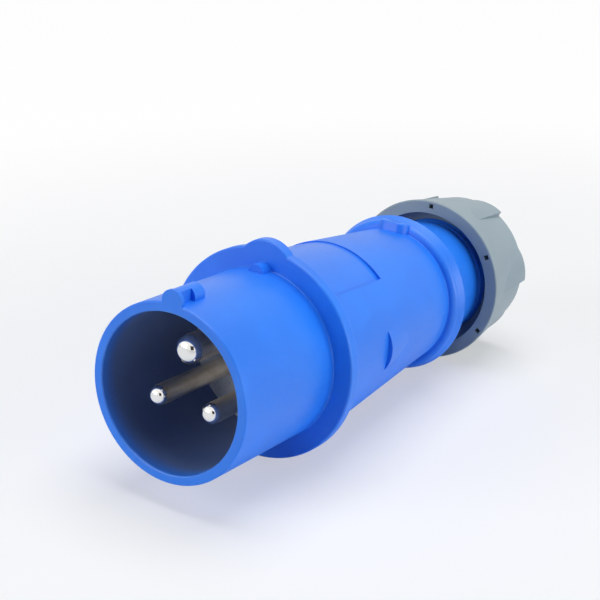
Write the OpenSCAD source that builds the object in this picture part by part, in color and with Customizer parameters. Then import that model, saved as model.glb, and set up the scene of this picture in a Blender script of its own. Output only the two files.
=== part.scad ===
// Industrial pin and sleeve plug: two poles and earth, straight grip, screwed cable gland.
// The plug lies along Y. The collar opens toward -Y, the cable leaves toward +Y, the key is on top (+Z).
// Each piece is drawn upright, as [radius, distance from the collar's rim]; lay_down() then turns it to Y.

/* [Pieces] */
// The piece to draw, or "all" for the whole plug

/* [Collar] */
// Outside radius of the collar at its rim
collar_r = 21.75; // [21.2:0.05:22.6]
// How much the outside widens from the rim to the flange
collar_widen = 0.1; // [0:0.05:0.3]
// Bore radius at the rim
bore_r = 19.3; // [18.6:0.05:19.6]
// How much the bore narrows down to the contact carrier
bore_draft = 0.3; // [0.1:0.05:0.5]
// Length of the collar from the rim to the flange
collar_len = 35.65; // [34:0.05:38]
// Rounding of the rim's edges
rim_round = 0.45; // [0.1:0.05:0.8]
// Rounding where the collar meets the flange
root_round = 0.3; // [0.2:0.1:0.6]

/* [Key, nub and ear] */
// Radius of the half-round key on top of the rim
key_r = 2.55; // [2:0.05:3.2]
// Height of the key above the collar
key_height = 3.05; // [2.6:0.05:3.4]
// Length of the key
key_len = 9.1; // [7:0.1:12]
// Thickness of the plate at the key's front
key_plate = 1.1; // [0.6:0.1:2]
// How far the plate stands out past the rest of the key
key_lip = 0.3; // [0.1:0.05:0.5]
// Length of the two side recesses behind the plate
key_recess_len = 4; // [2:0.1:5]
// Half thickness of the web that is left between the recesses
key_web = 1.3; // [0.6:0.1:1.8]
// Radius of the half-round nub against the flange
nub_r = 2.15; // [1.8:0.05:3]
// Height of the nub above the collar
nub_height = 2; // [1.5:0.05:2.8]
// Length of the nub in front of the flange
nub_len = 3.45; // [2.5:0.05:8]
// Radius of the round ear on the flange
ear_r = 8.2; // [6:0.1:10]
// How far the ear stands out of the flange
ear_height = 2.15; // [1:0.05:3]

/* [Flange and spigot] */
// Radius of the flange
flange_r = 27; // [26:0.1:29]
// Thickness of the flange
flange_t = 3.15; // [2.6:0.05:4]
// Rounding of the flange's edges
flange_round = 0.5; // [0.2:0.1:0.9]
// Outside radius of the spigot that goes into the grip
spigot_r = 21.9; // [21.7:0.05:22.1]
// Length of the spigot behind the flange
spigot_len = 10.7; // [9.5:0.1:12]
// Thickness of the housing seal's ring
seal_ring_t = 1.2; // [0.8:0.1:1.2]
// Distance from the flange to the housing seal's groove
seal_ring_at = 4.4; // [2.5:0.1:5.5]
// Width of the two snap tongues
tongue_w = 7; // [5:0.5:7.5]
// Thickness of a snap tongue
tongue_t = 1.7; // [1.2:0.1:2]
// Length of a snap tongue behind the spigot
tongue_len = 14.5; // [13:0.1:15.5]
// How far a tongue's hook stands out
hook_h = 1.2; // [0.8:0.1:1.3]
// Length of the hook
hook_len = 2.6; // [2:0.1:4]

/* [Grip] */
// Radius of the grip at the flange
grip_front_r = 24.65; // [24.4:0.05:25.5]
// Radius of the grip at its rear ring
grip_rear_r = 19.3; // [18.8:0.05:20.4]
// Length of the grip from the flange to the rear ring
grip_len = 60.7; // [58:0.1:66]
// Wall of the grip
grip_wall = 2; // [1.7:0.1:2.2]
// Depth of the bare label panel on top
panel_depth = 0.35; // [0.2:0.05:0.5]
// How far above the axis the panel's floor is turned, which sinks its long edges
panel_sink = 1.3; // [0.4:0.1:1.8]
// Length of the label panel from the flange
panel_len = 27.7; // [20:0.1:40]
// Width of the label panel, as an angle about the axis
panel_angle = 87; // [60:1:100]
// Distance from the flange to the front of the two catch bumps
bump_at = 21.7; // [21:0.1:22.5]
// Height of a catch bump at its front
bump_height = 1.25; // [1:0.05:1.8]
// Length over which a catch bump runs out
bump_len = 12.5; // [9:0.5:16]
// Radius across a catch bump
bump_r = 8.5; // [6:0.1:10]
// Thickness of the stop ribs inside the grip
rib_t = 1.6; // [1:0.1:2.5]
// Length of the stop ribs
rib_len = 30; // [15:1:35]

/* [Rear ring and neck] */
// Radius of the rear ring at its front
ring_front_r = 21.5; // [21:0.05:22]
// Radius of the rear ring at its back
ring_back_r = 22.3; // [22.05:0.05:23]
// Length of the rear ring
ring_len = 4.4; // [3.4:0.1:6]
// Rounding of the ring's front edge
ring_round = 1.7; // [0.4:0.1:1.9]
// Distance from the ring's front to the middle of the tie lug
lug_at = 0.4; // [0:0.1:1]
// Half width of the tie lug on the ring
lug_half_w = 4.4; // [3.4:0.1:5]
// Length of the tie lug along the plug
lug_len = 5.4; // [4.6:0.1:6]
// Height of the tie lug above the ring
lug_height = 0.15; // [0.05:0.05:0.6]
// Rounding of the tie lug's edge
lug_round = 0.5; // [0.2:0.1:0.8]
// Width of the slot in the tie lug
lug_slot_w = 3.6; // [2.6:0.1:4.2]
// Length of the slot along the plug
lug_slot_len = 1.2; // [0.8:0.1:1.6]
// Depth of the slot
lug_slot_depth = 1.6; // [1:0.1:2]
// Radius of the neck that carries the nut
neck_r = 17.05; // [16.6:0.05:17.4]
// Length of the neck behind the ring
neck_len = 29.1; // [28:0.1:31]
// Wall of the neck
neck_wall = 2.85; // [2.4:0.05:3.2]
// Length of the thread at the neck's rear end
thread_len = 11; // [8:0.5:11.5]
// Pitch of the thread
thread_pitch = 2.5; // [2:0.25:3]
// Depth of the thread
thread_depth = 0.6; // [0.3:0.05:0.8]
// Radius of the stop that holds the cable seal
stop_r = 10.5; // [9.5:0.1:12]

/* [Contact carrier] */
// Distance from the rim to the carrier's front face
carrier_at = 36; // [35:0.1:38]
// Step in the shell that the carrier rests on
carrier_step = 0.5; // [0.3:0.05:0.6]
// Thickness of the carrier's front disc
disc_t = 12; // [11.4:0.1:12.5]
// Radius of the terminal block behind the disc
block_r = 16.5; // [16:0.1:16.8]
// Length of the terminal block
block_len = 14; // [13:0.1:15]
// Thickness of the carrier's cover
cover_t = 2.5; // [2:0.1:4]
// Radius of the holes for the cores in the cover
core_hole_r = 2.6; // [2:0.1:3.2]

/* [Contacts] */
// Radius of the circle that the contacts stand on
pin_circle_r = 8.88; // [8.5:0.01:9.3]
// Radius of the earth contact
earth_r = 3.5; // [3.2:0.05:3.8]
// Radius of the live and neutral contacts
line_r = 2.5; // [2.2:0.05:2.8]
// Distance from the rim to the contacts' tips
tip_at = 4.9; // [3.5:0.1:8]
// How much thicker a contact's shank is inside the carrier
seat_swell = 0.2; // [0.1:0.05:0.3]
// Share of a contact's radius that its tip is rounded by
tip_share = 0.8; // [0.4:0.05:0.95]
// Thickness of the carrier in front of the contacts' shoulders
shoulder_at = 4; // [3:0.1:6]
// Thickness of the contacts' shoulders
shoulder_t = 2; // [1:0.1:3]
// Radius of the contacts' shoulders
shoulder_r = 4.6; // [4.3:0.1:4.9]
// Radius of the terminal barrels
barrel_r = 3.9; // [3.6:0.05:4.1]
// Radius of the holes for the cores in the barrels
core_r = 2.1; // [1.8:0.05:2.3]
// Length of the holes for the cores
core_len = 12; // [9:0.5:14]
// Distance from a barrel's rear end to its screw
screw_back = 6; // [4.5:0.1:7]
// Radius of the terminal screws' shanks
screw_r = 1.7; // [1.4:0.05:1.9]
// Radius of the terminal screws' heads
head_r = 2.7; // [2.4:0.05:2.9]
// Height of the terminal screws' heads
head_h = 2.2; // [1.5:0.1:2.6]
// Width of the leaf that presses on the core
leaf_w = 2.6; // [1.8:0.1:2.8]
// Thickness of the leaf
leaf_t = 0.4; // [0.3:0.05:0.6]
// Distance from a contact's axis to the top of its leaf
leaf_at = 1.4; // [1.2:0.05:1.5]
// Radius of the circle that the carrier's screws stand on
fix_circle_r = 11.5; // [10.5:0.1:12]
// Radius of the carrier's screws
fix_r = 1.4; // [1.1:0.05:1.6]
// Radius of the carrier's screw heads
fix_head_r = 2.6; // [2.2:0.05:2.9]
// Length of the carrier's screws in the carrier
fix_len = 8; // [6:0.5:12]

/* [Gland] */
// Distance from the stop's front to the seal, the stop's thickness
stop_t = 2.5; // [2:0.1:3.5]
// Distance from the neck's rear end to the cable seal's seat
seat_depth = 19; // [18:0.1:20]
// Length of the cable seal
seal_len = 12; // [10:0.5:13]
// Bore radius of the inner seal, for the thinnest cable
seal_bore_r = 5.5; // [4:0.1:7]
// Radius where the inner seal peels out of the outer one
seal_split_r = 9; // [8:0.1:10]
// Thickness of the seal's washer
washer_t = 1.5; // [1:0.1:1.8]
// Length of the clamping cage's ring
cage_ring_t = 3; // [2:0.1:3.4]
// Length of the clamping cage's claws
claw_len = 4.7; // [3:0.1:5]
// Number of claws
claw_count = 8; // [6:1:10]
// Width of the gaps between the claws
claw_gap = 2.4; // [1.5:0.1:3.5]
// Radial thickness of the claws
claw_t = 3.2; // [2.5:0.1:3.6]
// Length of the pressure ring
press_len = 4.9; // [4:0.1:5]
// Lead of the cone inside the pressure ring, larger radius less smaller radius
press_cone = 4; // [2.5:0.1:5]

/* [Gland nut] */
// Length of the neck that the nut covers
nut_cover = 12.35; // [11.8:0.05:13.1]
// Length of the nut
nut_len = 24.35; // [24:0.05:26]
// Radius of the nut at its front
nut_front_r = 23.7; // [23.2:0.05:24.5]
// Radius of the nut at its rear
nut_rear_r = 20.4; // [19.9:0.05:21.2]
// Rounding of the nut's front edge
nut_round = 0.4; // [0.2:0.1:1.2]
// Radius of the nut's open mouth
mouth_r = 20.1; // [19:0.05:20.6]
// Depth of the nut's open mouth
mouth_depth = 5; // [3:0.1:6]
// Thickness of the nut's rear wall
nut_wall = 2; // [1.6:0.1:2.4]
// Radius of the cable hole in the rear wall
cable_hole_r = 8.5; // [7:0.1:10]
// Number of grip waves round the nut
nut_waves = 6; // [4:1:8]
// Radius across a grip wave
nut_wave_r = 13; // [9:0.5:15]
// Height of a grip wave's step at the nut's rear
nut_wave_height = 1.25; // [0.6:0.05:1.6]
// Length of the grip waves
nut_wave_len = 17; // [12:0.5:19]
// Width of the flat along the crest of a grip wave
nut_wave_flat = 0.6; // [0.2:0.1:1.2]
// Width of the square holes in the nut's front face
nut_hole_w = 1.3; // [0.8:0.1:1.6]
// Depth of the square holes
nut_hole_depth = 3; // [1:0.1:3.5]

/* [Fits] */
// Gap all round between pieces that slide into each other
slip = 0.05; // [0.02:0.01:0.08]
// Gap all round between the neck and the nut
running = 0.1; // [0.06:0.01:0.1]
// Gap between the tongues and the grip's inside
tongue_gap = 0.2; // [0.1:0.05:0.3]

/* [Hidden] */
$fn = 96;
arc_steps = 5;
over = 1;
key_angle = 90;
live_angle = 210;
neutral_angle = 330;
catch_angles = [0, 180];

flange_front = collar_len;
flange_back = flange_front + flange_t;
spigot_end = flange_back + spigot_len;
ring_front = flange_back + grip_len;
ring_back = ring_front + ring_len;
neck_end = ring_back + neck_len;
ring_edge = min(ring_round, ring_front_r - grip_rear_r - root_round);
ring_lean = atan((ring_back_r - ring_front_r) / ring_len);
thread_turns = floor(thread_len / thread_pitch);
thread_from = neck_end - 2 * rim_round - thread_turns * thread_pitch;
nut_front = neck_end - nut_cover;
total_len = nut_front + nut_len;
nut_floor = total_len - nut_wall;

carrier_r = bore_r - bore_draft + carrier_step;
carrier_back = carrier_at + disc_t;
block_back = carrier_back + block_len;
cover_back = block_back + cover_t;
spigot_bore_r = carrier_r + slip;
grip_bore_r = spigot_r + 2 * slip;
grip_bore_end = spigot_end + 0.5;
barrel_end = block_back - 2 * leaf_t - slip;
barrel_front = carrier_at + shoulder_at;
screw_at = barrel_end - screw_back;
pocket_r = shoulder_r + slip;

seal_ring_front = flange_back + seal_ring_at;
seal_ring_w = 2 * seal_ring_t;
groove_floor_r = grip_bore_r - seal_ring_t + slip;
tongue_end = spigot_end + tongue_len;
hook_front = tongue_end - hook_len;
pocket_front = hook_front - 2 * slip;
pocket_back = tongue_end + 0.5;

seat_r = neck_r - neck_wall;
seat_front = neck_end - seat_depth;
seal_back = seat_front + seal_len;
washer_back = seal_back + washer_t;
cage_back = washer_back + cage_ring_t;
claw_tip = cage_back + claw_len;
claw_r = seat_r - 0.3;
press_r = neck_r;
press_back = nut_floor - running;
press_front = press_back - press_len;
nut_bore_r = neck_r + running;

// Radius of the grip's outside at a distance from the rim.
function grip_r(s) = grip_front_r + (grip_rear_r - grip_front_r) * (s - flange_back) / grip_len;

// Radius of the grip's inside behind the spigot.
function hollow_r(s) = grip_r(s) - grip_wall;

// Radius of a snap tongue's outside, just clear of the grip.
function tongue_r(s) = hollow_r(s) - tongue_gap;

// Points on an arc about c, from angle a0 to a1.
function arc(c, r, a0, a1) =
  [for (i = [0:arc_steps]) let (a = a0 + (a1 - a0) * i / arc_steps) c + r * [cos(a), sin(a)]];

// Lays an upright piece down along Y, with its lowest point of the flange on the ground.
module lay_down() {
  translate([0, -total_len / 2, flange_r]) rotate([-90, 0, 0]) children();
}

// Turns a piece from +X to an angle about the axis, with 90 degrees on top.
module at_angle(a) {
  rotate([0, 0, -a]) children();
}

// A hole or cut with its axis along the plug.
module bore(r, from, to) {
  translate([0, 0, from]) cylinder(r = r, h = to - from);
}

// A half-round rib on the collar, standing at the key's angle.
module half_round(r, height, from, to, end_round) {
  at_angle(key_angle) translate([collar_r + height - r, 0, from]) rotate_extrude()
    polygon(concat([[0, 0], [r, 0]],
      arc([r - end_round, to - from - end_round], end_round, 0, 90),
      [[0, to - from]]));
}

// The key: a front plate, a narrow web between two side recesses, and a full block behind.
module key() {
  half_round(key_r + key_lip, key_height + key_lip / 2, 0, key_plate, rim_round / 2);
  difference() {
    half_round(key_r, key_height, 0, key_len, rim_round);
    at_angle(key_angle) for (side = [-1, 1])
      translate([0, side * (key_web + key_r) - key_r, key_plate])
        cube([collar_r + key_height + key_r, 2 * key_r, key_recess_len]);
  }
}

// The round ear on the flange, with a slightly smaller edge rounding than the flange.
module ear() {
  e = flange_round * 0.8;
  at_angle(key_angle) translate([flange_r + ear_height - ear_r, 0, flange_front]) rotate_extrude()
    polygon(concat([[0, 0]],
      arc([ear_r - e, e], e, -90, 0),
      arc([ear_r - e, flange_t - e], e, 0, 90),
      [[0, flange_t]]));
}

// Two springy tongues that run on behind the spigot and hook into the grip.
module tongues() {
  root = spigot_end - 2;
  intersection() {
    rotate_extrude() polygon([
      [tongue_r(spigot_end) - tongue_t, root],
      [tongue_r(spigot_end), root],
      [tongue_r(spigot_end), spigot_end],
      [tongue_r(hook_front), hook_front],
      [tongue_r(hook_front) + hook_h, hook_front],
      [tongue_r(hook_front) + hook_h, hook_front + hook_len / 3],
      [tongue_r(tongue_end), tongue_end],
      [tongue_r(tongue_end) - tongue_t, tongue_end],
      [tongue_r(spigot_end) - tongue_t, spigot_end]]);
    translate([-flange_r, -tongue_w / 2, root])
      cube([2 * flange_r, tongue_w, tongue_end - root + over]);
  }
}

// Collar, flange and spigot as one turned form.
module shell_outside() {
  base_r = collar_r + collar_widen;
  rotate_extrude() polygon(concat([[0, 0]],
    arc([collar_r - rim_round, rim_round], rim_round, -90, 0),
    arc([base_r + root_round, flange_front - root_round], root_round, 180, 90),
    arc([flange_r - flange_round, flange_front + flange_round], flange_round, -90, 0),
    arc([flange_r - flange_round, flange_back - flange_round], flange_round, 0, 90),
    [[spigot_r, flange_back],
     [spigot_r, seal_ring_front],
     [groove_floor_r, seal_ring_front],
     [groove_floor_r, seal_ring_front + seal_ring_w],
     [spigot_r, seal_ring_front + seal_ring_w],
     [spigot_r, spigot_end - 2 * rim_round],
     [spigot_r - rim_round, spigot_end],
     [0, spigot_end]]));
}

// The collar's bore, its step for the carrier, and the wider bore behind it.
module shell_inside() {
  rotate_extrude() polygon(concat(
    [[0, -over], [bore_r + rim_round, -over]],
    arc([bore_r + rim_round, rim_round], rim_round, 270, 180),
    [[bore_r - bore_draft, carrier_at],
     [spigot_bore_r, carrier_at],
     [spigot_bore_r, spigot_end + over],
     [0, spigot_end + over]]));
}

// Front shell: collar with key and nub, flange with ear, spigot with snap tongues, all one moulding.
module front_shell() {
  color([0.1, 0.35, 0.85]) lay_down() {
    difference() {
      union() {
        shell_outside();
        key();
        half_round(nub_r, nub_height, flange_front - nub_len, flange_front + rim_round, rim_round / 2);
        ear();
      }
      shell_inside();
    }
    tongues();
  }
}

// The rubber ring that seals the grip on the spigot.
module housing_seal() {
  color([0.08, 0.08, 0.08]) lay_down()
    translate([0, 0, seal_ring_front + seal_ring_w / 2]) rotate_extrude()
      translate([groove_floor_r + seal_ring_t / 2, 0]) circle(r = seal_ring_t / 2 + slip, $fn = 32);
}

// A catch bump: a cylinder that leans into the grip, cut off square at its front.
module catch_bump() {
  front = flange_back + bump_at;
  crest = grip_r(front) + bump_height;
  lean = atan((crest - grip_r(front + bump_len)) / bump_len);
  difference() {
    translate([crest - bump_r / cos(lean), 0, front]) rotate([0, -lean, 0])
      translate([0, 0, -bump_r]) cylinder(r = bump_r, h = bump_len + 2 * bump_r);
    translate([0, -2 * bump_r, front - 4 * bump_r])
      cube([2 * flange_r, 4 * bump_r, 4 * bump_r]);
  }
}

// The pocket behind a catch bump that holds a tongue's hook.
module hook_pocket() {
  half_w = tongue_w / 2 + tongue_gap;
  top_r = tongue_r(hook_front) + hook_h + tongue_gap;
  translate([hollow_r(pocket_front) - grip_wall, -half_w, pocket_front])
    cube([top_r - hollow_r(pocket_front) + grip_wall, 2 * half_w, pocket_back - pocket_front]);
}

// The shallow bare panel for a label on top of the grip.
module label_panel() {
  panel_back = flange_back + panel_len;
  floor_drop = panel_depth + panel_sink;
  at_angle(key_angle) difference() {
    rotate([0, 0, -panel_angle / 2]) rotate_extrude(angle = panel_angle) polygon([
      [0, flange_back - over],
      [grip_front_r + 2 * over, flange_back - over],
      [grip_front_r + 2 * over, panel_back],
      [0, panel_back]]);
    translate([panel_sink, 0, 0]) rotate_extrude() polygon([
      [0, flange_back - 2 * over],
      [grip_r(flange_back - 2 * over) - floor_drop, flange_back - 2 * over],
      [grip_r(panel_back + over) - floor_drop, panel_back + over],
      [0, panel_back + over]]);
  }
}

// A pad with two round ends, its top edge rounded, that stands along Z and is long along Y.
module round_pad(half_w, len, height, edge) {
  side = arc([len / 2 - edge, height - edge], edge, 0, 90);
  for (end = [-1, 1]) translate([0, end * (half_w - len / 2), 0]) rotate_extrude()
    polygon(concat([[0, 0], [len / 2, 0]], side, [[0, height]]));
  rotate([90, 0, 0]) translate([0, 0, len / 2 - half_w]) linear_extrude(2 * half_w - len)
    polygon(concat([[-len / 2, 0], [len / 2, 0]], side,
      [for (i = [arc_steps:-1:0]) [-side[i][0], side[i][1]]]));
}

// The tie lug: a pad on the rear ring's front edge that reaches over the grip, with a slot.
module tie_lug() {
  top_r = ring_front_r + lug_height;
  foot = top_r - neck_r;
  at_angle(key_angle) translate([top_r, 0, ring_front + lug_at]) rotate([0, 90 - ring_lean, 0]) difference() {
    translate([0, 0, -foot]) round_pad(lug_half_w, lug_len, foot, lug_round);
    translate([0, 0, -lug_slot_depth]) round_pad(lug_slot_w / 2, lug_slot_len, 2 * lug_slot_depth, slip);
  }
}

// One groove and ridge of the neck's thread, drawn as rings.
function thread_ridge(s) =
  let (root_r = neck_r - thread_depth, flat = (thread_pitch - 2 * thread_depth) / 2)
  [[neck_r, s],
   [root_r, s + thread_depth],
   [root_r, s + thread_depth + flat],
   [neck_r, s + 2 * thread_depth + flat]];

// Grip, rear ring and neck as one turned form.
module grip_outside() {
  rotate_extrude() polygon(concat([[0, flange_back], [grip_front_r, flange_back]],
    arc([grip_r(ring_front - root_round) + root_round, ring_front - root_round], root_round, 180, 90),
    arc([ring_front_r - ring_edge, ring_front + ring_edge], ring_edge, -90, 0),
    arc([ring_back_r - rim_round, ring_back - rim_round], rim_round, 0, 90),
    arc([neck_r + rim_round, ring_back + rim_round], rim_round, 270, 180),
    [for (i = [0:thread_turns - 1]) each thread_ridge(thread_from + i * thread_pitch)],
    [[neck_r, neck_end - 2 * rim_round],
     [neck_r - rim_round, neck_end],
     [0, neck_end]]));
}

// The grip's inside: the spigot's bore, the wiring space, the seal's stop and seat.
module grip_inside() {
  stop_front = seat_front - stop_t;
  rotate_extrude() polygon([
    [0, flange_back - over],
    [grip_bore_r, flange_back - over],
    [grip_bore_r, grip_bore_end],
    [hollow_r(grip_bore_end), grip_bore_end],
    [hollow_r(ring_front - over), ring_front - over],
    [seat_r, ring_back],
    [seat_r, stop_front - stop_t],
    [stop_r, stop_front],
    [stop_r, seat_front],
    [seat_r, seat_front],
    [seat_r, neck_end + over],
    [0, neck_end + over]]);
}

// One of the ribs that keep the contact carrier from moving back.
module stop_rib() {
  foot_r = carrier_r - 3 * tongue_gap;
  inner_r = (foot_r + block_r) / 2;
  rotate([90, 0, 0]) translate([0, 0, -rib_t / 2]) linear_extrude(rib_t) polygon([
    [inner_r, carrier_back],
    [foot_r, carrier_back],
    [foot_r, grip_bore_end],
    [hollow_r(grip_bore_end) + grip_wall / 2, grip_bore_end],
    [hollow_r(carrier_back + rib_len) + grip_wall / 2, carrier_back + rib_len]]);
}

// Grip housing: grip with panel and catch bumps, rear ring with lug, and the neck for the nut.
module handle_housing() {
  color([0.1, 0.35, 0.85]) lay_down() {
    difference() {
      union() {
        difference() {
          grip_outside();
          label_panel();
        }
        for (a = catch_angles) at_angle(a) catch_bump();
        tie_lug();
      }
      grip_inside();
      for (a = catch_angles) at_angle(a) hook_pocket();
    }
    for (a = [45:90:315]) at_angle(a) stop_rib();
  }
}

// Where the three contacts stand.
module at_contact(a) {
  at_angle(a) translate([pin_circle_r, 0, 0]) children();
}

// Where the carrier's three screws stand, half way between the contacts.
module at_fixings() {
  for (a = [key_angle + 60:120:key_angle + 300]) at_angle(a) translate([fix_circle_r, 0, 0]) children();
}

// Contact carrier: front disc and terminal block with pockets for the contacts.
module contact_carrier() {
  contacts = [[key_angle, earth_r], [live_angle, line_r], [neutral_angle, line_r]];
  color([0.72, 0.73, 0.72]) lay_down() difference() {
    rotate_extrude() polygon([
      [0, carrier_at],
      [carrier_r, carrier_at],
      [carrier_r, carrier_back],
      [block_r, carrier_back],
      [block_r, block_back],
      [0, block_back]]);
    for (c = contacts) at_contact(c[0]) {
      bore(c[1] + seat_swell + slip, carrier_at - over, block_back);
      bore(pocket_r, barrel_front, block_back + over);
      translate([0, 0, screw_at]) rotate([0, 90, 0]) cylinder(r = head_r + tongue_gap, h = block_r);
    }
    at_fixings() bore(fix_r, block_back - fix_len, block_back + over);
  }
}

// The cover behind the terminals, with holes for the cores and for its screws.
module carrier_cover() {
  color([0.72, 0.73, 0.72]) lay_down() difference() {
    bore(block_r, block_back, cover_back);
    for (a = [key_angle, live_angle, neutral_angle]) at_contact(a)
      bore(core_hole_r, block_back - over, cover_back + over);
    at_fixings() bore(fix_r + slip, block_back - over, cover_back + over);
  }
}

// The three screws that hold the cover on the carrier.
module carrier_screws() {
  color([0.7, 0.7, 0.72]) lay_down() at_fixings() difference() {
    union() {
      bore(fix_r, block_back - fix_len, cover_back + fix_r);
      bore(fix_head_r, cover_back, cover_back + fix_r);
    }
    translate([-fix_head_r, -fix_r / 4, cover_back + fix_r / 2]) cube([2 * fix_head_r, fix_r / 2, fix_r]);
  }
}

// A contact: domed tip, shank, shoulder, and a barrel with a hole for the core and one for the screw.
module contact(a, r) {
  dome = r * tip_share;
  color([0.8, 0.76, 0.66]) lay_down() at_contact(a) difference() {
    rotate_extrude() polygon(concat([[0, tip_at]],
      arc([r - dome, tip_at + dome], dome, -90, 0),
      [[r, carrier_at],
       [r + seat_swell, carrier_at],
       [r + seat_swell, barrel_front],
       [shoulder_r, barrel_front],
       [shoulder_r, barrel_front + shoulder_t],
       [barrel_r, barrel_front + shoulder_t],
       [barrel_r, barrel_end],
       [0, barrel_end]]));
    bore(core_r, barrel_end - core_len, barrel_end + over);
    translate([0, 0, screw_at]) rotate([0, 90, 0]) cylinder(r = screw_r + slip, h = 2 * barrel_r);
  }
}

// A terminal screw, square to its contact, with its tip on the leaf.
module terminal_screw(a) {
  color([0.7, 0.7, 0.72]) lay_down() at_contact(a) translate([0, 0, screw_at]) rotate([0, 90, 0])
    difference() {
      union() {
        bore(screw_r, leaf_at, barrel_r + head_h);
        bore(head_r, barrel_r, barrel_r + head_h);
      }
      translate([-head_r, -leaf_t, barrel_r + head_h / 2]) cube([2 * head_r, 2 * leaf_t, head_h]);
    }
}

// The leaf that a terminal screw presses on the core, hooked over the barrel's end.
module wire_leaf(a) {
  color([0.8, 0.72, 0.45]) lay_down() at_contact(a) {
    translate([leaf_at - leaf_t, -leaf_w / 2, screw_at - screw_back + leaf_w])
      cube([leaf_t, leaf_w, barrel_end + leaf_t - screw_at + screw_back - leaf_w]);
    translate([leaf_at - leaf_t, -leaf_w / 2, barrel_end])
      cube([barrel_r - leaf_at, leaf_w, leaf_t]);
  }
}

// A ring between two radii and two distances, with a small chamfer on its four edges.
module turned_ring(inner_r, outer_r, from, to, edge) {
  rotate_extrude() polygon([
    [inner_r + edge, from],
    [outer_r - edge, from],
    [outer_r, from + edge],
    [outer_r, to - edge],
    [outer_r - edge, to],
    [inner_r + edge, to],
    [inner_r, to - edge],
    [inner_r, from + edge]]);
}

// The cable seal's outer ring, for the thickest cable.
module cable_seal_outer() {
  color([0.07, 0.07, 0.07]) lay_down()
    turned_ring(seal_split_r, seat_r - slip, seat_front, seal_back, rim_round);
}

// The cable seal's inner ring, left in for thin cables.
module cable_seal_inner() {
  color([0.12, 0.12, 0.12]) lay_down()
    turned_ring(seal_bore_r, seal_split_r - slip, seat_front, seal_back, rim_round);
}

// The washer that spreads the cage's push over the seal.
module seal_washer() {
  color([0.85, 0.85, 0.82]) lay_down()
    turned_ring(seal_split_r, seat_r - slip, seal_back, washer_back, slip);
}

// Clamping cage: a ring with claws that grip the cable.
module clamping_cage() {
  inner_r = claw_r - claw_t;
  color([0.2, 0.2, 0.22]) lay_down() difference() {
    rotate_extrude() polygon([
      [inner_r, washer_back],
      [claw_r, washer_back],
      [claw_r, cage_back],
      [claw_r - claw_len / 5, claw_tip],
      [inner_r - claw_t / 5, claw_tip],
      [inner_r, cage_back]]);
    for (i = [0:claw_count - 1]) rotate([0, 0, (i + 0.5) * 360 / claw_count])
      translate([0, -claw_gap / 2, cage_back]) cube([seat_r, claw_gap, claw_len + over]);
  }
}

// Pressure ring: slides in the nut, and its cone closes the claws.
module pressure_ring() {
  color([0.85, 0.85, 0.82]) lay_down() rotate_extrude() polygon([
    [claw_r + running * 5, press_front],
    [press_r - rim_round, press_front],
    [press_r, press_front + rim_round],
    [press_r, press_back],
    [claw_r - press_cone, press_back],
    [claw_r - press_cone, press_back - 1]]);
}

// A grip wave: a leaning cylinder that rises out of the nut and ends in a flat crest and a step.
module grip_wave() {
  front_r = nut_front_r + (nut_rear_r - nut_front_r) * (nut_len - nut_wave_len) / nut_len;
  crest_r = nut_rear_r + nut_wave_height;
  lean = atan((front_r - crest_r) / nut_wave_len);
  difference() {
    translate([crest_r - nut_wave_r / cos(lean), 0, total_len]) rotate([0, -lean, 0])
      bore(nut_wave_r, -nut_wave_len - 2 * over, nut_wave_r);
    translate([0, nut_wave_flat, nut_front])
      cube([2 * nut_front_r, 2 * nut_wave_r, 2 * nut_len]);
  }
}

// The nut's outside: a cone with grip waves, cut off flat at the rear.
module nut_outside() {
  difference() {
    union() {
      rotate_extrude() polygon(concat([[0, nut_front]],
        arc([nut_front_r - nut_round, nut_front + nut_round], nut_round, -90, 0),
        arc([nut_rear_r - rim_round, total_len - rim_round], rim_round, 0, 90),
        [[0, total_len]]));
      for (i = [1:nut_waves]) at_angle(i * 360 / nut_waves) grip_wave();
    }
    bore(2 * nut_front_r, total_len, total_len + 2 * nut_wave_r);
  }
}

// Gland nut: open mouth, threaded bore, rear wall with the cable hole, grip waves and small square holes.
module gland_nut() {
  hole_r = (mouth_r + nut_front_r) / 2 + slip * 6;
  color([0.62, 0.66, 0.68]) lay_down() difference() {
    nut_outside();
    rotate_extrude() polygon([
      [0, nut_front - over],
      [mouth_r, nut_front - over],
      [mouth_r, nut_front + mouth_depth],
      [nut_bore_r, nut_front + mouth_depth + over],
      [nut_bore_r, nut_floor],
      [cable_hole_r, nut_floor],
      [cable_hole_r, total_len - rim_round],
      [cable_hole_r + rim_round, total_len],
      [cable_hole_r + rim_round, total_len + over],
      [0, total_len + over]]);
    for (i = [1:nut_waves]) at_angle((i + 0.5) * 360 / nut_waves)
      translate([hole_r - nut_hole_w / 2, -nut_hole_w / 2, nut_front - over])
        cube([nut_hole_w, nut_hole_w, nut_hole_depth + over]);
  }
}

module earth_pin() { contact(key_angle, earth_r); }
module live_pin() { contact(live_angle, line_r); }
module neutral_pin() { contact(neutral_angle, line_r); }
module earth_terminal_screw() { terminal_screw(key_angle); }
module line_terminal_screws() { for (a = [live_angle, neutral_angle]) terminal_screw(a); }
module earth_wire_leaf() { wire_leaf(key_angle); }
module live_wire_leaf() { wire_leaf(live_angle); }
module neutral_wire_leaf() { wire_leaf(neutral_angle); }

front_shell();
handle_housing();
contact_carrier();
carrier_cover();
earth_pin();
live_pin();
neutral_pin();
earth_terminal_screw();
line_terminal_screws();
earth_wire_leaf();
live_wire_leaf();
neutral_wire_leaf();
carrier_screws();
housing_seal();
cable_seal_outer();
cable_seal_inner();
seal_washer();
clamping_cage();
pressure_ring();
gland_nut();
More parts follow.
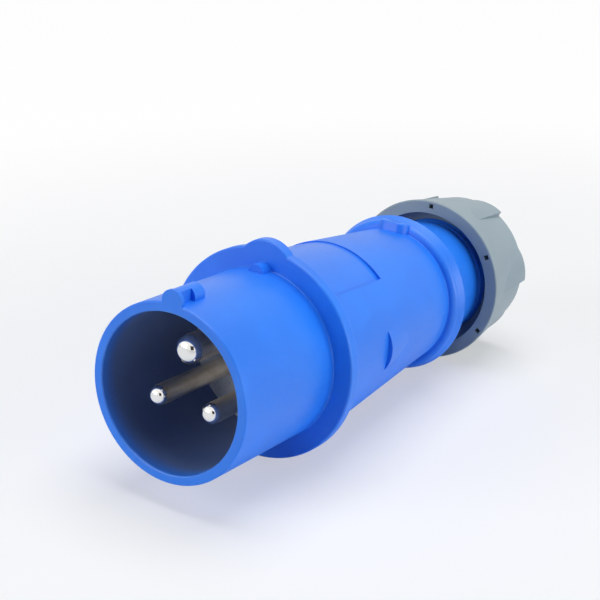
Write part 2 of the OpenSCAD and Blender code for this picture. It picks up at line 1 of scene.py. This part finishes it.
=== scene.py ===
# %% [markdown]
# # An industrial pin and sleeve plug, dressed in Blender
#
# The plug's solids were built to size in CAD and come in as a fixed frame. This lesson gives each of them
# a finish, adds the soft lips of the cable seal as a new surface, and sets up a plain studio.
#
# The plug lies along Y: its blue collar opens toward -Y, its grey gland nut is at the +Y end, and the key
# on the rim points up. All lengths are in metres.

# %% Load the frame
import math

import bpy
import numpy as np
from mathutils import Matrix, Vector


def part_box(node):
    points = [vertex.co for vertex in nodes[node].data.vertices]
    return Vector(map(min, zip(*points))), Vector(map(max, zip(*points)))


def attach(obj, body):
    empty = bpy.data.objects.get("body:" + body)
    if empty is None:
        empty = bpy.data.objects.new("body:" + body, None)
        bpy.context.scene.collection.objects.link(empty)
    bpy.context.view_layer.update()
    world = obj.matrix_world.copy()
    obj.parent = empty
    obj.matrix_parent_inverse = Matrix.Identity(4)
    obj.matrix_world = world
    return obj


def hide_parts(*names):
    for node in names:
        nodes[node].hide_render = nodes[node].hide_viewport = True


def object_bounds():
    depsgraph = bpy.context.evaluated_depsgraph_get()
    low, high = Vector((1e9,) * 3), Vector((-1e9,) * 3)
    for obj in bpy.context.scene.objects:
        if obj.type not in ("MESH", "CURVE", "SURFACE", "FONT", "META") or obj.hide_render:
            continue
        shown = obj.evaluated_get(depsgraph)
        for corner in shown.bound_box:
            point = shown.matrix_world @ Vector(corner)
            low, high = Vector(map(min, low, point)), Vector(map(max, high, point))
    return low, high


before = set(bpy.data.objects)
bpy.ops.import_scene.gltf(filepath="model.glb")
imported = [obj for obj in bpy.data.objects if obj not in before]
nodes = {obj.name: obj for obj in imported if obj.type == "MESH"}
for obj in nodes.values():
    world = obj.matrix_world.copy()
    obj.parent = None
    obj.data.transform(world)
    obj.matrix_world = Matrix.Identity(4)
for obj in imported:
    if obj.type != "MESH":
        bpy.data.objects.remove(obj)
cad_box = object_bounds()
low = np.array(cad_box[0], dtype=float)
high = np.array(cad_box[1], dtype=float)
print("pieces:", len(nodes), "size in mm:", np.round((high - low) * 1000, 1))

# %% [markdown]
# ## Where things are
#
# Most patterns on this plug go round its axis or along it, so the axis height and the distances along the
# plug are worked out once, from the boxes of the solids themselves.

# %% Landmarks


def span(name, axis):
    """Lowest and highest coordinate of one solid along one axis, 0 for X, 1 for Y, 2 for Z."""
    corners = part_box(name)
    return float(corners[0][axis]), float(corners[1][axis])


rim_y = span("front_shell", 1)[0]
grip_front_y = span("handle_housing", 1)[0]
nut_front_y = span("gland_nut", 1)[0]
carrier_y = span("contact_carrier", 1)[0]
nut_bottom = span("gland_nut", 2)[0]
axis_z = (span("gland_nut", 0)[1] - span("gland_nut", 0)[0]) / 2 + nut_bottom
print("axis height in mm:", round(axis_z * 1000, 2), "carrier face at", round((carrier_y - rim_y) * 1000, 2))

# %% [markdown]
# ## Sums on sockets
#
# A finish is a small calculation that Blender repeats for each point of the surface. Written as nodes, even
# a short formula takes many clicks, so `Wire` wraps a socket and lets ordinary sums make the Math nodes.
# `Finish` holds one material and adds every other kind of node.

# %% A socket that can be used in sums


class Wire:
    """A number that varies over the surface. Sums, products and powers of it add Math nodes."""

    def __init__(self, finish, socket):
        self.finish = finish
        self.socket = socket

    def math(self, operation, first, second=None, clamp=False):
        """A Math node: the operation applied to one or two numbers or wires."""
        values = [first] if second is None else [first, second]
        settings = {"operation": operation, "use_clamp": clamp}
        return self.finish.add("ShaderNodeMath", settings, dict(enumerate(values)))

    def __add__(self, other):
        return self.math("ADD", self, other)

    def __radd__(self, other):
        return self.math("ADD", other, self)

    def __sub__(self, other):
        return self.math("SUBTRACT", self, other)

    def __rsub__(self, other):
        return self.math("SUBTRACT", other, self)

    def __mul__(self, other):
        return self.math("MULTIPLY", self, other)

    def __rmul__(self, other):
        return self.math("MULTIPLY", other, self)

    def __truediv__(self, other):
        return self.math("DIVIDE", self, other)

    def __pow__(self, other):
        return self.math("POWER", self, other)

    def clamp(self):
        """The same number, held between 0 and 1."""
        return self.math("ADD", self, 0.0, clamp=True)

    def size(self):
        """The number without its sign."""
        return self.math("ABSOLUTE", self)

    def sine(self):
        """The sine of the number, taken as radians."""
        return self.math("SINE", self)

    def step(self, start, end):
        """0 before start, 1 after end, and a smooth ramp between."""
        settings = {"interpolation_type": "SMOOTHSTEP"}
        inputs = {"Value": self, "From Min": start, "From Max": end, "To Min": 0.0, "To Max": 1.0}
        return self.finish.add("ShaderNodeMapRange", settings, inputs)


# %% A material that adds its own nodes


class Finish:
    """One material with its surface shader, and short ways to add nodes to it."""

    def __init__(self, name):
        self.material = bpy.data.materials.new(name)
        self.material.use_nodes = True
        self.tree = self.material.node_tree
        self.tree.nodes.clear()
        self.place = self.add("ShaderNodeTexCoord", out="Object")
        self.x, self.y, self.z = self.split(self.place)

    def add(self, kind, settings=None, inputs=None, out=0):
        """A node of one kind: its settings first, then its inputs by name or number, values or wires."""
        node = self.tree.nodes.new(kind)
        for key, value in (settings or {}).items():
            if key == "stops":
                self.fill_ramp(node.color_ramp, value)
            else:
                setattr(node, key, value)
        for key, value in (inputs or {}).items():
            if isinstance(value, Wire):
                self.tree.links.new(value.socket, node.inputs[key])
            else:
                node.inputs[key].default_value = value
        if out is None:
            return node
        return Wire(self, node.outputs[out])

    def fill_ramp(self, ramp, stops):
        """Places a colour ramp's stops, each a position and a colour."""
        while len(ramp.elements) < len(stops):
            ramp.elements.new(0.5)
        for element, (position, colour) in zip(ramp.elements, stops):
            element.position = position
            element.color = (*colour, 1.0)

    def split(self, vector):
        """The three coordinates of a vector."""
        node = self.add("ShaderNodeSeparateXYZ", inputs={0: vector}, out=None)
        return [Wire(self, node.outputs[i]) for i in range(3)]

    def join(self, x, y, z):
        """A vector from three numbers or wires."""
        return self.add("ShaderNodeCombineXYZ", inputs={0: x, 1: y, 2: z})

    def grain(self, scale, detail=2.0, roughness=0.5, at=None):
        """Soft random noise between 0 and 1; scale is how many blotches fit in a metre."""
        inputs = {"Vector": at or self.place, "Scale": scale, "Detail": detail, "Roughness": roughness}
        return self.add("ShaderNodeTexNoise", inputs=inputs, out="Fac")

    def blend(self, amount, first, second):
        """A colour between two colours, by a wire that goes from 0 to 1."""
        inputs = {"Factor": amount, "A": self.colour(first), "B": self.colour(second)}
        settings = {"data_type": "RGBA"}
        node = self.add("ShaderNodeMix", settings, out=None)
        colour_sockets = {"Factor": 0, "A": 6, "B": 7}
        for key, value in inputs.items():
            if isinstance(value, Wire):
                self.tree.links.new(value.socket, node.inputs[colour_sockets[key]])
            else:
                node.inputs[colour_sockets[key]].default_value = value
        return Wire(self, node.outputs[2])

    def colour(self, value):
        """A colour as four numbers, or a wire as it is."""
        return value if isinstance(value, Wire) else (*value, 1.0)

    def relief(self, height, distance, over=None):
        """Small heights turned into light and shade; height 1 stands for the given distance. They are laid
        over the surface's own directions, or over others."""
        inputs = {"Strength": 1.0, "Distance": distance, "Height": height}
        if over is not None:
            inputs["Normal"] = over
        return self.add("ShaderNodeBump", inputs=inputs, out="Normal")

    def skin(self, **inputs):
        """The surface shader itself, with its sockets by name, a blank standing in as an underscore."""
        named = {key.replace("_", " "): value for key, value in inputs.items()}
        for key in ("Base Color", "Coat Tint", "Specular Tint"):
            if key in named:
                named[key] = self.colour(named[key])
        shader = self.add("ShaderNodeBsdfPrincipled", inputs=named, out=None)
        output = self.add("ShaderNodeOutputMaterial", out=None)
        self.tree.links.new(shader.outputs[0], output.inputs[0])
        return self.material

    def across(self):
        """Distance from the plug's axis, in metres."""
        height = self.z - axis_z
        return (self.x * self.x + height * height) ** 0.5

    def round_angle(self):
        """Angle about the plug's axis in radians: 0 at +X, a quarter turn at the top."""
        return self.x.math("ARCTAN2", self.z - axis_z, self.x)


def dress(material, *names):
    """Gives one material to every slot of the named solids."""
    for name in names:
        slots = nodes[name].data.materials
        if not slots:
            slots.append(material)
        for i in range(len(slots)):
            slots[i] = material
    print(material.name, "on", ", ".join(names))


# %% [markdown]
# ## The blue moulding
#
# Collar and grip are glass-filled nylon, moulded in a bright signal blue. From a step away the surface looks
# even, but it isn't flat: the mould leaves a fine spark-eroded grain, the plastic cools a little unevenly and
# gives broad soft waves, and handling rubs faint lines along the plug. Colour hardly changes, so nearly all
# of the detail goes into roughness and relief.

# %% Blue plastic
BLUE = (0.015, 0.205, 0.88)
BLUE_DEEP = (0.012, 0.180, 0.82)
# Painted shade: the dark blue that the inside of the bore is blended to.
BLUE_PAINTED_SHADE = (0.10, 0.16, 0.36)
BORE_RADIUS = 0.0195
PANEL_LENGTH = 0.0277
PANEL_HALF_ANGLE = 0.759


def blue_plastic(name, grain_depth, shine):
    """Blue nylon: deep and light blotches, a fine grain, soft waves, and rubbed lines along Y."""
    f = Finish(name)
    blotch = f.grain(55.0, 3.0)
    along = f.join(f.x * 900.0, f.y * 60.0, f.z * 900.0)
    rubbed = f.grain(1.0, 3.0, 0.6, along).step(0.56, 0.72)
    specks = f.grain(1500.0, 2.0, 0.6)
    waves = f.grain(38.0, 1.0)
    tint = f.blend(blotch.step(0.35, 0.7), BLUE_DEEP, BLUE)
    tint = f.blend(rubbed * 0.08, tint, (0.08, 0.28, 0.90))
    height = specks * grain_depth + waves * 0.35 + rubbed * 0.04
    rough = 0.36 - shine + blotch * 0.10 + rubbed * 0.06
    return f, tint, rough, height


def collar_finish():
    """The collar's blue, smoother than the grip, with the draw marks of the core and painted shade inside the
    bore.
    """
    f, tint, rough, height = blue_plastic("blue collar", 0.22, 0.04)
    inside = 1.0 - f.across().step(BORE_RADIUS, BORE_RADIUS + 0.0005)
    # Painted shade: the bore's blue turns to a dark shaded blue from just inside the rim inward.
    painted_bore_shade = inside * f.y.step(rim_y - 0.002, rim_y + 0.006)
    tint = f.blend(painted_bore_shade, tint, BLUE_PAINTED_SHADE)
    turns = (f.y * 5200.0).sine() * 0.5 + 0.5
    height = height + inside * turns * 0.03
    return f.skin(Base_Color=tint, Roughness=rough, IOR=1.5, Normal=f.relief(height, 0.00012))


def grip_finish():
    """The grip's blue: grained all over but for the smooth label panel on top."""
    f, tint, rough, height = blue_plastic("blue grip", 0.22, 0.0)
    angle = f.round_angle()
    off_top = (angle - math.pi / 2).size()
    beside = off_top.step(PANEL_HALF_ANGLE - 0.003, PANEL_HALF_ANGLE + 0.003)
    panel_end = grip_front_y + PANEL_LENGTH
    panel = (1.0 - beside) * (1.0 - f.y.step(panel_end - 0.0001, panel_end + 0.0001))
    grain = f.grain(2600.0, 1.0) * (1.0 - panel)
    height = height + grain * 0.10
    rough = rough - panel * 0.05
    return f.skin(Base_Color=tint, Roughness=rough, IOR=1.5, Normal=f.relief(height, 0.00012))


dress(collar_finish(), "front_shell")
dress(grip_finish(), "handle_housing")

# %% [markdown]
# ## The grey nut
#
# The gland nut is moulded in a cool grey. Its flanks are drawn straight out of the mould, which leaves very
# faint lines along Y.

# %% Grey plastic


def nut_finish():
    """Grey plastic: cool grey with soft blotches and faint lines along Y."""
    f = Finish("grey nut")
    blotch = f.grain(60.0, 3.0)
    specks = f.grain(1700.0, 2.0, 0.6)
    drawn = f.grain(1.0, 2.0, 0.5, f.join(f.x * 700.0, f.y * 25.0, f.z * 700.0))
    tint = f.blend(blotch.step(0.3, 0.7), (0.235, 0.305, 0.350), (0.262, 0.335, 0.376))
    tint = f.blend(drawn.step(0.6, 0.8) * 0.15, tint, (0.34, 0.40, 0.43))
    height = specks * 0.12 + drawn * 0.10 + f.grain(40.0, 1.0) * 0.3
    rough = 0.36 + blotch * 0.10
    return f.skin(Base_Color=tint, Roughness=rough, IOR=1.5, Normal=f.relief(height, 0.00012))


dress(nut_finish(), "gland_nut")

# %% [markdown]
# ## The light grey carrier
#
# The insert that holds the contacts is a mineral-filled plastic. It is duller than the shell and a little
# cloudy, and the pressed face shows a fine even grain.

# %% Carrier plastic


def carrier_finish():
    """Light grey filled plastic: cloudy, with a fine grain and a few darker specks of filler."""
    f = Finish("grey carrier")
    cloud = f.grain(90.0, 4.0)
    filler = f.grain(2400.0, 0.0).step(0.70, 0.76)
    tint = f.blend(cloud.step(0.3, 0.75), (0.80, 0.80, 0.78), (0.88, 0.88, 0.86))
    tint = f.blend(filler * 0.35, tint, (0.30, 0.30, 0.30))
    height = f.grain(1300.0, 2.0) * 0.2 + cloud * 0.3
    return f.skin(Base_Color=tint, Roughness=0.5 + cloud * 0.1, IOR=1.5, Normal=f.relief(height, 0.00010))


dress(carrier_finish(), "contact_carrier", "carrier_cover")

# %% [markdown]
# ## The contacts
#
# The three contacts are turned from brass bar and nickel plated. Turning leaves rings so fine that they only
# stretch the highlights; sliding in and out of sockets leaves long scratches and wears the plating warm. The
# round tips are polished, so their shading follows the dome itself and not the facets of the solid.

# %% Plated contacts
FLAT = 0.2
SHANKS = {"earth_pin": 0.0035, "live_pin": 0.0025, "neutral_pin": 0.0025}


def domed(f, name, radius):
    """Directions of the round tip of a contact. With d the distance from the contact's own axis as a share
    of its radius, the sine of the lean away from the axis is 0 up to FLAT and then rises evenly to 1."""
    (x0, y0, z0), (x1, _, z1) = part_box(name)
    tip = 1.0 - f.y.step(y0 + 0.70 * radius, y0 + 0.85 * radius)
    across = f.x - float(x0 + x1) / 2
    above = f.z - float(z0 + z1) / 2
    away = (across * across + above * above) ** 0.5
    lean = ((away / radius - FLAT) / (1.0 - FLAT)).clamp()
    straight = (1.0 - lean * lean) ** 0.5
    side = lean / (away + 0.000001)
    dome = f.join(across * side, straight * -1.0, above * side)
    own = f.add("ShaderNodeNewGeometry", out="Normal")
    node = f.add("ShaderNodeMix", {"data_type": "VECTOR"}, out=None)
    for place, wire in ((0, tip), (4, own), (5, dome)):
        f.tree.links.new(wire.socket, node.inputs[place])
    return tip, Wire(f, node.outputs[1])


def contact_finish(name, radius):
    """Nickel plate over brass: a bright tip, and a shank with fine rings, scratches and warm wear."""
    f = Finish("plated " + name)
    tip, directions = domed(f, name, radius)
    worn = f.grain(260.0, 4.0, 0.6).step(0.40, 0.75)
    scratch = f.grain(1.0, 2.0, 0.5, f.join(f.x * 2600.0, f.y * 90.0, f.z * 2600.0)).step(0.4, 0.75)
    rings = (f.y * 19000.0).sine() * 0.5 + 0.5
    shank = f.blend(worn * 0.6 + scratch * 0.3, (0.80, 0.72, 0.60), (0.66, 0.55, 0.40))
    tint = f.blend(tip, shank, (0.86, 0.85, 0.82))
    rough = 0.34 + worn * 0.08 + scratch * 0.08 - tip * 0.28
    height = (rings * 0.25 + scratch * 0.9) * (1.0 - tip)
    relief = f.relief(height, 0.000012, directions)
    return f.skin(Base_Color=tint, Metallic=1.0, Roughness=rough, Normal=relief)


for contact, shank_radius in SHANKS.items():
    dress(contact_finish(contact, shank_radius), contact)

# %% [markdown]
# ## Hidden metal and rubber
#
# Inside sit zinc-plated screws, brass leaves, black rubber seals and three plastic rings. They are seen only
# through the gland or in a section, but each still gets the finish of its material.

# %% Small metal parts


def plated_steel():
    """Zinc plate: cloudy bright grey with a slight blue cast."""
    f = Finish("zinc plate")
    cloud = f.grain(700.0, 4.0)
    tint = f.blend(cloud.step(0.35, 0.7), (0.52, 0.54, 0.57), (0.68, 0.69, 0.70))
    height = f.grain(3000.0, 2.0)
    return f.skin(Base_Color=tint, Metallic=1.0, Roughness=0.26 + cloud * 0.16,
                  Normal=f.relief(height, 0.00001))


def bare_brass():
    """Bare brass sheet: warm, brushed along Y, with duller tarnished clouds."""
    f = Finish("bare brass")
    tarnish = f.grain(420.0, 4.0, 0.6).step(0.45, 0.75)
    brushed = f.grain(1.0, 2.0, 0.5, f.join(f.x * 4000.0, f.y * 120.0, f.z * 4000.0))
    tint = f.blend(tarnish, (0.76, 0.58, 0.26), (0.52, 0.38, 0.17))
    return f.skin(Base_Color=tint, Metallic=1.0, Roughness=0.22 + tarnish * 0.2,
                  Normal=f.relief(brushed, 0.00001))


dress(plated_steel(), "earth_terminal_screw", "line_terminal_screws", "carrier_screws")
dress(bare_brass(), "earth_wire_leaf", "live_wire_leaf", "neutral_wire_leaf")

# %% Rubber and ring plastics


def black_rubber():
    """Seal rubber: near black, dull, with a pale dusty bloom in patches."""
    f = Finish("seal rubber")
    bloom = f.grain(160.0, 4.0, 0.6).step(0.5, 0.8)
    tint = f.blend(bloom * 0.6, (0.012, 0.012, 0.013), (0.05, 0.05, 0.052))
    height = f.grain(1900.0, 3.0) + bloom * 0.2
    return f.skin(Base_Color=tint, Roughness=0.62 + bloom * 0.18, Normal=f.relief(height, 0.00003))


def ring_plastic(name, light, dark):
    """Slippery nylon for the gland's rings: one pale or dark tone with soft clouds."""
    f = Finish(name)
    cloud = f.grain(120.0, 3.0)
    tint = f.blend(cloud.step(0.3, 0.7), dark, light)
    height = f.grain(1500.0, 2.0) * 0.5 + (f.y * 9000.0).sine() * 0.1
    return f.skin(Base_Color=tint, Roughness=0.42 + cloud * 0.12, Normal=f.relief(height, 0.00003))


rubber = black_rubber()
dress(rubber, "housing_seal", "cable_seal_outer", "cable_seal_inner")
dress(ring_plastic("natural ring", (0.66, 0.65, 0.60), (0.58, 0.57, 0.52)), "seal_washer", "pressure_ring")
dress(ring_plastic("dark cage", (0.06, 0.06, 0.065), (0.035, 0.035, 0.04)), "clamping_cage")

# %% [markdown]
# ## The lips of the cable seal
#
# The solid for the seal's inner ring is a plain tube. The real one has soft round lips along its bore, which
# close on the cable's sheath. The lips are one profile turned about the axis: a tube whose bore radius rises
# and falls along Y.

# %% A profile turned about the axis


def turned_surface(name, along, radius, steps):
    """A closed surface of revolution: at angle t about the axis, a profile point with distance r and place y
    lies at x = r cos t, z = axis height + r sin t. The profile is a closed loop, so there are no ends."""
    t = np.linspace(0.0, 2.0 * math.pi, steps, endpoint=False)
    x = np.outer(np.cos(t), radius)
    z = axis_z + np.outer(np.sin(t), radius)
    y = np.broadcast_to(along, x.shape)
    points = np.stack([x, y, z], axis=-1).reshape(-1, 3)
    count = len(along)
    i, j = np.meshgrid(np.arange(steps), np.arange(count), indexing="ij")
    i2, j2 = (i + 1) % steps, (j + 1) % count
    faces = np.stack([i * count + j, i2 * count + j, i2 * count + j2, i * count + j2], axis=-1).reshape(-1, 4)
    mesh = bpy.data.meshes.new(name)
    mesh.from_pydata(points.tolist(), [], faces.tolist())
    mesh.shade_smooth()
    piece = bpy.data.objects.new(name, mesh)
    bpy.context.scene.collection.objects.link(piece)
    print(name, len(faces), "faces")
    return piece


def facing_outwards(piece):
    """Turns the faces round if the surface's signed volume comes out negative."""
    mesh = piece.data
    corners = np.empty(len(mesh.vertices) * 3)
    mesh.vertices.foreach_get("co", corners)
    corners = corners.reshape(-1, 3)
    loops = np.empty(len(mesh.loops), dtype=np.int64)
    mesh.loops.foreach_get("vertex_index", loops)
    a, b, c, d = corners[loops.reshape(-1, 4)].transpose(1, 0, 2)
    volume = np.einsum("ij,ij->i", a, np.cross(b, c)).sum() + np.einsum("ij,ij->i", a, np.cross(c, d)).sum()
    if volume < 0:
        mesh.flip_normals()
    print(piece.name, "volume in cubic mm:", round(abs(volume) / 6 * 1e9, 1))


# %% The seal with its lips
seal_front, seal_back = span("cable_seal_inner", 1)
seal_outer = (span("cable_seal_inner", 0)[1] - span("cable_seal_inner", 0)[0]) / 2
LIPS = 5
LIP_BORE = 0.0055
LIP_DEPTH = 0.0009


def seal_profile(points):
    """One closed loop: out along the bore, where the radius is the lip bore plus a rounded valley between
    every two lips, then back along the plain outside, with the corners eased by a small chamfer."""
    ease = 0.0004
    u = np.linspace(0.0, 1.0, points)
    bore_y = seal_front + ease + u * (seal_back - seal_front - 2 * ease)
    bore_r = LIP_BORE + LIP_DEPTH * np.abs(np.cos(math.pi * LIPS * u)) ** 1.5
    outside_y = [seal_back, seal_back, seal_back - ease, seal_front + ease, seal_front, seal_front]
    outside_r = [LIP_BORE + LIP_DEPTH + ease, seal_outer - ease, seal_outer, seal_outer, seal_outer - ease,
                 LIP_BORE + LIP_DEPTH + ease]
    return np.concatenate([bore_y, outside_y]), np.concatenate([bore_r, outside_r])


profile_y, profile_r = seal_profile(90)
seal_lips = turned_surface("seal_lips", profile_y, profile_r, 96)
facing_outwards(seal_lips)
seal_lips.data.materials.append(rubber)
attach(seal_lips, "plug_body")
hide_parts("cable_seal_inner")

# %% [markdown]
# ## Floor and light
#
# A pale floor and soft light show the round forms without hard edges. The plug rests on its flange and on the
# rim of the nut, which is a little smaller, so the floor follows that slight slope. A large soft lamp overhead
# gives the long highlight on top, one on the right lights the flank, and one from the left front reaches into
# the collar.

# %% Floor
FLANGE_MIDDLE = 0.0372
NUT_EDGE = 0.0008
flange_bottom_y = rim_y + FLANGE_MIDDLE
slope = math.atan2(nut_bottom - low[2], (nut_front_y + NUT_EDGE) - flange_bottom_y)


def pale_floor():
    """A wide flat sheet under the plug, tilted to touch both the flange and the nut."""
    half = 3.0
    flat = np.array([[-half, -half, 0], [half, -half, 0], [half, half, 0], [-half, half, 0]])
    turn = np.array(Matrix.Rotation(slope, 3, "X"))
    points = flat @ turn.T + np.array([0.0, flange_bottom_y, low[2]])
    mesh = bpy.data.meshes.new("floor")
    mesh.from_pydata(points.tolist(), [], [(0, 1, 2, 3)])
    piece = bpy.data.objects.new("floor", mesh)
    bpy.context.scene.collection.objects.link(piece)
    return piece


def floor_finish():
    """Pale matt floor that keeps the shadow; to the camera it turns white with distance from the plug."""
    f = Finish("pale floor")
    cloud = f.grain(3.0, 2.0)
    tint = f.blend(cloud, (0.86, 0.87, 0.90), (0.88, 0.89, 0.91))
    matt = f.add("ShaderNodeBsdfDiffuse", inputs={"Color": tint}, out="BSDF")
    plain_white = {"Color": (1.0, 1.0, 1.0, 1.0), "Strength": 1.0}
    white = f.add("ShaderNodeEmission", inputs=plain_white, out="Emission")
    seen = f.add("ShaderNodeLightPath", out="Is Camera Ray")
    away = (f.x * f.x + f.y * f.y * 0.5) ** 0.5
    share = 0.45 + away.step(0.05, 0.30) * 0.53
    shader = f.add("ShaderNodeMixShader", inputs={0: seen * share, 1: matt, 2: white}, out="Shader")
    output = f.add("ShaderNodeOutputMaterial", out=None)
    f.tree.links.new(shader.socket, output.inputs[0])
    return f.material


floor = pale_floor()
floor.data.materials.append(floor_finish())
print("floor slope in degrees:", round(math.degrees(slope), 2))

# %% World
scene = bpy.context.scene
world = bpy.data.worlds.new("studio")
scene.world = world
world.use_nodes = True


def set_world(level):
    """An even pale surround: bright to the camera and to gloss, but dim and bluish as light on the plug."""
    tree = world.node_tree
    tree.nodes.clear()
    path = tree.nodes.new("ShaderNodeLightPath")
    shown = tree.nodes.new("ShaderNodeMath")
    shown.operation = "MAXIMUM"
    tree.links.new(path.outputs["Is Camera Ray"], shown.inputs[0])
    tree.links.new(path.outputs["Is Glossy Ray"], shown.inputs[1])
    dim = tree.nodes.new("ShaderNodeBackground")
    dim.inputs["Color"].default_value = (0.62, 0.82, 1.0, 1.0)
    dim.inputs["Strength"].default_value = level
    bright = tree.nodes.new("ShaderNodeBackground")
    bright.inputs["Color"].default_value = (1.0, 1.0, 1.0, 1.0)
    bright.inputs["Strength"].default_value = 1.0
    mix = tree.nodes.new("ShaderNodeMixShader")
    tree.links.new(shown.outputs[0], mix.inputs[0])
    tree.links.new(dim.outputs[0], mix.inputs[1])
    tree.links.new(bright.outputs[0], mix.inputs[2])
    output = tree.nodes.new("ShaderNodeOutputWorld")
    tree.links.new(mix.outputs[0], output.inputs[0])


set_world(0.08)

# %% Lamps
middle = Vector((0.0, 0.0, axis_z))


def soft_lamp(name, place, size, brightness):
    """A square lamp that faces the plug. Its power is pi squared times the distance squared, times the
    brightness that a white surface facing it would show."""
    light = bpy.data.lights.new(name, "AREA")
    light.shape = "SQUARE"
    light.size = size
    reach = Vector(place) - middle
    light.energy = brightness * math.pi ** 2 * reach.length_squared
    lamp = bpy.data.objects.new(name, light)
    turn = reach.to_track_quat("Z", "Y").to_matrix().to_4x4()
    lamp.matrix_world = Matrix.Translation(place) @ turn
    scene.collection.objects.link(lamp)
    print(name, "power in watts:", round(light.energy, 2))
    return lamp


soft_lamp("overhead", (0.0, 0.03, 0.75), 0.60, 0.88)
soft_lamp("right_side", (0.75, 0.10, 0.15), 0.50, 0.65)
soft_lamp("left_front", (-0.34, -0.68, 0.24), 0.36, 0.42)

# %% [markdown]
# ## Camera
#
# The camera looks down at the collar from the right, close enough that the collar looks clearly larger than
# the nut. It is placed by its azimuth, its elevation and a small roll.

# %% Camera
AZIMUTH = math.radians(31.897)
ELEVATION = math.radians(18.581)
ROLL = math.radians(4.596)
CAMERA_PLACE = Vector((0.17774, -0.30492, 0.14985))


def place_camera():
    """The view direction comes from azimuth and elevation; roll turns the picture about that direction."""
    back = Vector((math.sin(AZIMUTH) * math.cos(ELEVATION), -math.cos(AZIMUTH) * math.cos(ELEVATION),
                   math.sin(ELEVATION)))
    level = Vector((math.cos(AZIMUTH), math.sin(AZIMUTH), 0.0))
    upright = back.cross(level)
    right = level * math.cos(ROLL) + upright * math.sin(ROLL)
    up = upright * math.cos(ROLL) - level * math.sin(ROLL)
    lens = bpy.data.cameras.new("camera")
    lens.sensor_width = 36.0
    lens.lens = 84.0
    lens.clip_start = 0.01
    lens.clip_end = 20.0
    camera = bpy.data.objects.new("camera", lens)
    turn = Matrix((right, up, back)).transposed().to_4x4()
    camera.matrix_world = Matrix.Translation(CAMERA_PLACE) @ turn
    scene.collection.objects.link(camera)
    return camera




def dark_card(camera, distance, width):
    """A black card behind the lens, square to it, which shows as a dark spot in bright metal."""
    half = width / 2
    square = [(-half, -half), (half, -half), (half, half), (-half, half)]
    mesh = bpy.data.meshes.new("dark card")
    corners = [camera.matrix_world @ Vector((x, y, distance)) for x, y in square]
    mesh.from_pydata(corners, [], [(0, 1, 2, 3)])
    piece = bpy.data.objects.new("dark_card", mesh)
    scene.collection.objects.link(piece)
    f = Finish("dark card")
    piece.data.materials.append(f.skin(Base_Color=(0.01, 0.01, 0.012), Roughness=0.8))


scene.camera = place_camera()
dark_card(scene.camera, 0.25, 0.30)
scene.view_settings.view_transform = "Standard"
